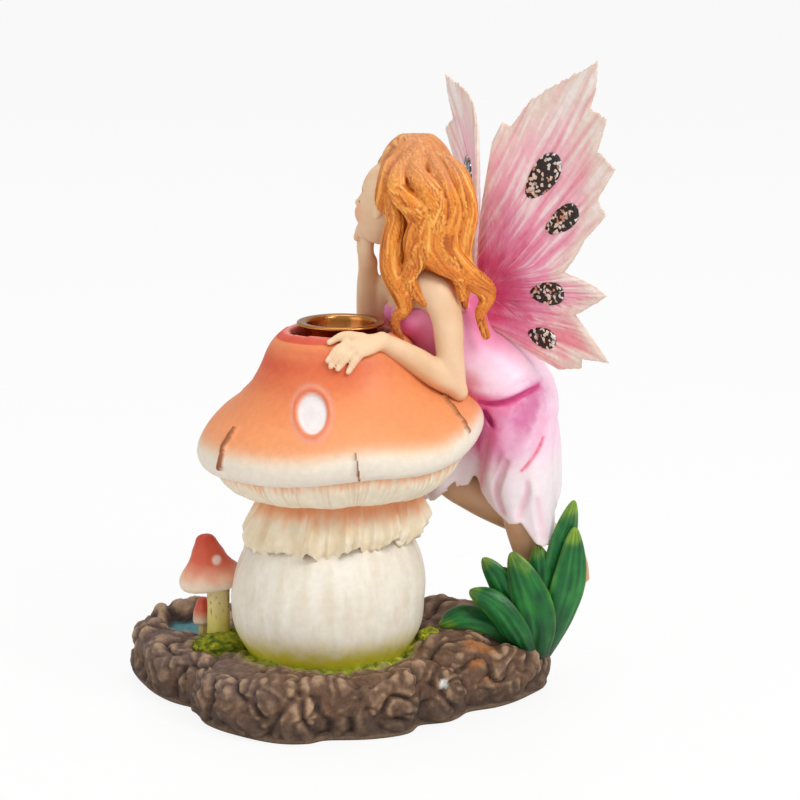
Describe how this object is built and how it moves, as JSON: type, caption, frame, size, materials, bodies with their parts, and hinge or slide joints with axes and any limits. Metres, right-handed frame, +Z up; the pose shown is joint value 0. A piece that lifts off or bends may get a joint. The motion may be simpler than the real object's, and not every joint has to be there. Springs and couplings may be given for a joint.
{
  "type": "backflow incense burner",
  "caption": "Cast resin burner: a winged girl leans on a toadstool whose cap holds a brass cup for a backflow cone, on a rock base with leaves.",
  "frame": {"origin": "centre of the whole object's bounding box, on the surface it stands on", "axes": "+Z up; +X towards her back and the leaves; -Y towards the side that the picture shows"},
  "size_m": [0.1478, 0.126, 0.1965],
  "materials": {
    "painted_resin": "hand-painted cast resin, satin",
    "wing_resin": "hand-painted cast resin, satin",
    "brass": "polished, lacquered"
  },
  "bodies": {
    "root": {"figurine_casting": "painted_resin", "left_wing": "wing_resin", "right_wing": "wing_resin", "cone_cup": "brass"}
  },
  "joints": []
}
